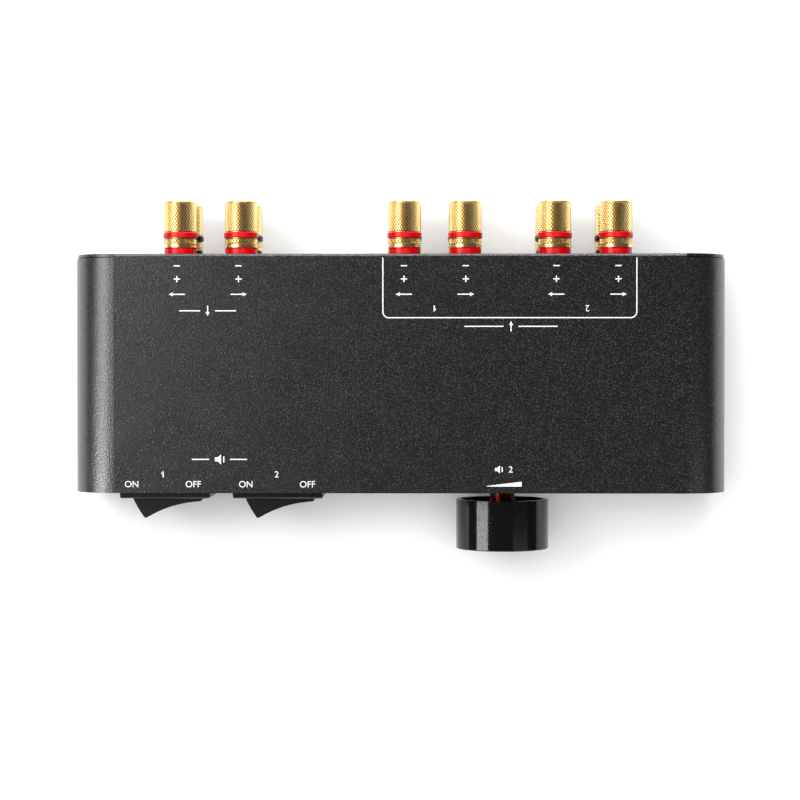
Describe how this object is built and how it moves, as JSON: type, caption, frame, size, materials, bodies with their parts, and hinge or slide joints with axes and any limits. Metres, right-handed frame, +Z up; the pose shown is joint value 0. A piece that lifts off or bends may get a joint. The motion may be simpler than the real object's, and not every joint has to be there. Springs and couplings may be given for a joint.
{
  "type": "speaker selector switch",
  "caption": "Low metal box with rocker switches and a volume knob in front and rows of screw-cap binding posts behind, for choosing which speakers an amplifier drives.",
  "frame": {"origin": "on the plane that the feet stand on, midway between the case's sides and midway between the knob's front face and the ends of the post caps", "axes": "+X to the right seen from the front, +Y to the rear (binding posts), +Z up"},
  "size_m": [0.22, 0.1182, 0.044],
  "materials": {
    "powder_coat": "fine-textured satin black powder coat",
    "zinc_steel": "bright zinc",
    "rubber": "matt moulded",
    "gold_plate": "polished gold plate",
    "red_plastic": "gloss",
    "black_plastic": "gloss",
    "switch_plastic": "semi-gloss moulded",
    "nylon": "natural moulded",
    "tinned_brass": "tinned",
    "nickel_brass": "nickel plated",
    "spring_steel": "drawn wire",
    "contact_copper": "rolled, bright",
    "bushing_brass": "dark thread, cut",
    "knob_black": "gloss black anodised, turned",
    "steel_black": "black oxide",
    "phenolic": "pressed board",
    "resistance_wire": "wound",
    "aluminium_shaft": "turned",
    "red_insulation": "smooth",
    "black_insulation": "smooth"
  },
  "bodies": {
    "case": {"cover_shell": "powder_coat", "chassis": "powder_coat", "rubber_feet": "rubber", "case_screws": "zinc_steel", "post_studs": "gold_plate", "red_collars": "red_plastic", "black_collars": "black_plastic", "post_insulators": "nylon", "solder_lugs": "tinned_brass", "post_nuts": "nickel_brass", "switch_common_terminals": "tinned_brass", "switch_on_terminals": "tinned_brass", "volume_bushing": "bushing_brass", "volume_nut": "nickel_brass", "volume_lock_washer": "spring_steel", "control_bracket": "zinc_steel", "volume_can": "zinc_steel", "volume_wafers": "phenolic", "resistance_tracks": "resistance_wire", "volume_terminals": "tinned_brass", "red_wires": "red_insulation", "black_wires": "black_insulation", "switch_1_housing": "switch_plastic", "switch_2_housing": "switch_plastic"},
    "switch_1_rocker": {"switch_1_rocker": "switch_plastic", "switch_1_plungers": "nylon", "switch_1_springs": "spring_steel"},
    "switch_1_blades": {"switch_1_blades": "contact_copper"},
    "switch_2_rocker": {"switch_2_rocker": "switch_plastic", "switch_2_plungers": "nylon", "switch_2_springs": "spring_steel"},
    "switch_2_blades": {"switch_2_blades": "contact_copper"},
    "volume_control": {"volume_shaft": "aluminium_shaft", "volume_wipers": "contact_copper", "volume_knob": "knob_black", "knob_set_screw": "steel_black"},
    "ring_in_right_red": {"ring_in_right_red": "red_plastic"},
    "cap_in_right_red": {"cap_in_right_red": "gold_plate"},
    "ring_in_left_red": {"ring_in_left_red": "red_plastic"},
    "cap_in_left_red": {"cap_in_left_red": "gold_plate"},
    "ring_pair1_right_red": {"ring_pair1_right_red": "red_plastic"},
    "cap_pair1_right_red": {"cap_pair1_right_red": "gold_plate"},
    "ring_pair1_left_red": {"ring_pair1_left_red": "red_plastic"},
    "cap_pair1_left_red": {"cap_pair1_left_red": "gold_plate"},
    "ring_pair2_right_red": {"ring_pair2_right_red": "red_plastic"},
    "cap_pair2_right_red": {"cap_pair2_right_red": "gold_plate"},
    "ring_pair2_left_red": {"ring_pair2_left_red": "red_plastic"},
    "cap_pair2_left_red": {"cap_pair2_left_red": "gold_plate"},
    "ring_in_right_black": {"ring_in_right_black": "black_plastic"},
    "cap_in_right_black": {"cap_in_right_black": "gold_plate"},
    "ring_in_left_black": {"ring_in_left_black": "black_plastic"},
    "cap_in_left_black": {"cap_in_left_black": "gold_plate"},
    "ring_pair1_right_black": {"ring_pair1_right_black": "black_plastic"},
    "cap_pair1_right_black": {"cap_pair1_right_black": "gold_plate"},
    "ring_pair1_left_black": {"ring_pair1_left_black": "black_plastic"},
    "cap_pair1_left_black": {"cap_pair1_left_black": "gold_plate"},
    "ring_pair2_right_black": {"ring_pair2_right_black": "black_plastic"},
    "cap_pair2_right_black": {"cap_pair2_right_black": "gold_plate"},
    "ring_pair2_left_black": {"ring_pair2_left_black": "black_plastic"},
    "cap_pair2_left_black": {"cap_pair2_left_black": "gold_plate"}
  },
  "joints": [
    {"name": "switch_1_rock", "type": "hinge", "parent": "case", "child": "switch_1_rocker", "pos_m": [-0.0794, -0.03735, 0.024], "axis": [0, 0, -1], "range_deg": [0, 34]},
    {"name": "switch_1_contact", "type": "hinge", "parent": "case", "child": "switch_1_blades", "pos_m": [-0.0794, -0.02755, 0.024], "axis": [0, 0, 1], "range_deg": [0, 17]},
    {"name": "switch_2_rock", "type": "hinge", "parent": "case", "child": "switch_2_rocker", "pos_m": [-0.0412, -0.03735, 0.024], "axis": [0, 0, -1], "range_deg": [0, 34]},
    {"name": "switch_2_contact", "type": "hinge", "parent": "case", "child": "switch_2_blades", "pos_m": [-0.0412, -0.02755, 0.024], "axis": [0, 0, 1], "range_deg": [0, 17]},
    {"name": "volume_turn", "type": "hinge", "parent": "case", "child": "volume_control", "pos_m": [0.0349, -0.04225, 0.024], "axis": [0, 1, 0], "range_deg": [-150, 150]},
    {"name": "in_right_red_lift", "type": "slide", "parent": "case", "child": "ring_in_right_red", "axis": [0, 1, 0], "range_m": [0, 0.0048]},
    {"name": "in_right_red_turn", "type": "hinge", "parent": "ring_in_right_red", "child": "cap_in_right_red", "pos_m": [-0.0743, 0.04075, 0.0335], "axis": [0, 1, 0], "range_deg": [0, 2160]},
    {"name": "in_left_red_lift", "type": "slide", "parent": "case", "child": "ring_in_left_red", "axis": [0, 1, 0], "range_m": [0, 0.0048]},
    {"name": "in_left_red_turn", "type": "hinge", "parent": "ring_in_left_red", "child": "cap_in_left_red", "pos_m": [-0.0537, 0.04075, 0.0335], "axis": [0, 1, 0], "range_deg": [0, 2160]},
    {"name": "pair1_right_red_lift", "type": "slide", "parent": "case", "child": "ring_pair1_right_red", "axis": [0, 1, 0], "range_m": [0, 0.0048]},
    {"name": "pair1_right_red_turn", "type": "hinge", "parent": "ring_pair1_right_red", "child": "cap_pair1_right_red", "pos_m": [0.0015, 0.04075, 0.0335], "axis": [0, 1, 0], "range_deg": [0, 2160]},
    {"name": "pair1_left_red_lift", "type": "slide", "parent": "case", "child": "ring_pair1_left_red", "axis": [0, 1, 0], "range_m": [0, 0.0048]},
    {"name": "pair1_left_red_turn", "type": "hinge", "parent": "ring_pair1_left_red", "child": "cap_pair1_left_red", "pos_m": [0.0221, 0.04075, 0.0335], "axis": [0, 1, 0], "range_deg": [0, 2160]},
    {"name": "pair2_right_red_lift", "type": "slide", "parent": "case", "child": "ring_pair2_right_red", "axis": [0, 1, 0], "range_m": [0, 0.0048]},
    {"name": "pair2_right_red_turn", "type": "hinge", "parent": "ring_pair2_right_red", "child": "cap_pair2_right_red", "pos_m": [0.05225, 0.04075, 0.0335], "axis": [0, 1, 0], "range_deg": [0, 2160]},
    {"name": "pair2_left_red_lift", "type": "slide", "parent": "case", "child": "ring_pair2_left_red", "axis": [0, 1, 0], "range_m": [0, 0.0048]},
    {"name": "pair2_left_red_turn", "type": "hinge", "parent": "ring_pair2_left_red", "child": "cap_pair2_left_red", "pos_m": [0.07285, 0.04075, 0.0335], "axis": [0, 1, 0], "range_deg": [0, 2160]},
    {"name": "in_right_black_lift", "type": "slide", "parent": "case", "child": "ring_in_right_black", "axis": [0, 1, 0], "range_m": [0, 0.0048]},
    {"name": "in_right_black_turn", "type": "hinge", "parent": "ring_in_right_black", "child": "cap_in_right_black", "pos_m": [-0.0743, 0.04075, 0.0145], "axis": [0, 1, 0], "range_deg": [0, 2160]},
    {"name": "in_left_black_lift", "type": "slide", "parent": "case", "child": "ring_in_left_black", "axis": [0, 1, 0], "range_m": [0, 0.0048]},
    {"name": "in_left_black_turn", "type": "hinge", "parent": "ring_in_left_black", "child": "cap_in_left_black", "pos_m": [-0.0537, 0.04075, 0.0145], "axis": [0, 1, 0], "range_deg": [0, 2160]},
    {"name": "pair1_right_black_lift", "type": "slide", "parent": "case", "child": "ring_pair1_right_black", "axis": [0, 1, 0], "range_m": [0, 0.0048]},
    {"name": "pair1_right_black_turn", "type": "hinge", "parent": "ring_pair1_right_black", "child": "cap_pair1_right_black", "pos_m": [0.0015, 0.04075, 0.0145], "axis": [0, 1, 0], "range_deg": [0, 2160]},
    {"name": "pair1_left_black_lift", "type": "slide", "parent": "case", "child": "ring_pair1_left_black", "axis": [0, 1, 0], "range_m": [0, 0.0048]},
    {"name": "pair1_left_black_turn", "type": "hinge", "parent": "ring_pair1_left_black", "child": "cap_pair1_left_black", "pos_m": [0.0221, 0.04075, 0.0145], "axis": [0, 1, 0], "range_deg": [0, 2160]},
    {"name": "pair2_right_black_lift", "type": "slide", "parent": "case", "child": "ring_pair2_right_black", "axis": [0, 1, 0], "range_m": [0, 0.0048]},
    {"name": "pair2_right_black_turn", "type": "hinge", "parent": "ring_pair2_right_black", "child": "cap_pair2_right_black", "pos_m": [0.05225, 0.04075, 0.0145], "axis": [0, 1, 0], "range_deg": [0, 2160]},
    {"name": "pair2_left_black_lift", "type": "slide", "parent": "case", "child": "ring_pair2_left_black", "axis": [0, 1, 0], "range_m": [0, 0.0048]},
    {"name": "pair2_left_black_turn", "type": "hinge", "parent": "ring_pair2_left_black", "child": "cap_pair2_left_black", "pos_m": [0.07285, 0.04075, 0.0145], "axis": [0, 1, 0], "range_deg": [0, 2160]}
  ],
  "couplings": [
    {"joint": "switch_1_contact", "follows": "switch_1_rock", "ratio": 0.5},
    {"joint": "switch_2_contact", "follows": "switch_2_rock", "ratio": 0.5},
    {"joint": "in_right_red_lift", "follows": "in_right_red_turn", "m_per_rad": 0.00012732},
    {"joint": "in_left_red_lift", "follows": "in_left_red_turn", "m_per_rad": 0.00012732},
    {"joint": "pair1_right_red_lift", "follows": "pair1_right_red_turn", "m_per_rad": 0.00012732},
    {"joint": "pair1_left_red_lift", "follows": "pair1_left_red_turn", "m_per_rad": 0.00012732},
    {"joint": "pair2_right_red_lift", "follows": "pair2_right_red_turn", "m_per_rad": 0.00012732},
    {"joint": "pair2_left_red_lift", "follows": "pair2_left_red_turn", "m_per_rad": 0.00012732},
    {"joint": "in_right_black_lift", "follows": "in_right_black_turn", "m_per_rad": 0.00012732},
    {"joint": "in_left_black_lift", "follows": "in_left_black_turn", "m_per_rad": 0.00012732},
    {"joint": "pair1_right_black_lift", "follows": "pair1_right_black_turn", "m_per_rad": 0.00012732},
    {"joint": "pair1_left_black_lift", "follows": "pair1_left_black_turn", "m_per_rad": 0.00012732},
    {"joint": "pair2_right_black_lift", "follows": "pair2_right_black_turn", "m_per_rad": 0.00012732},
    {"joint": "pair2_left_black_lift", "follows": "pair2_left_black_turn", "m_per_rad": 0.00012732}
  ]
}
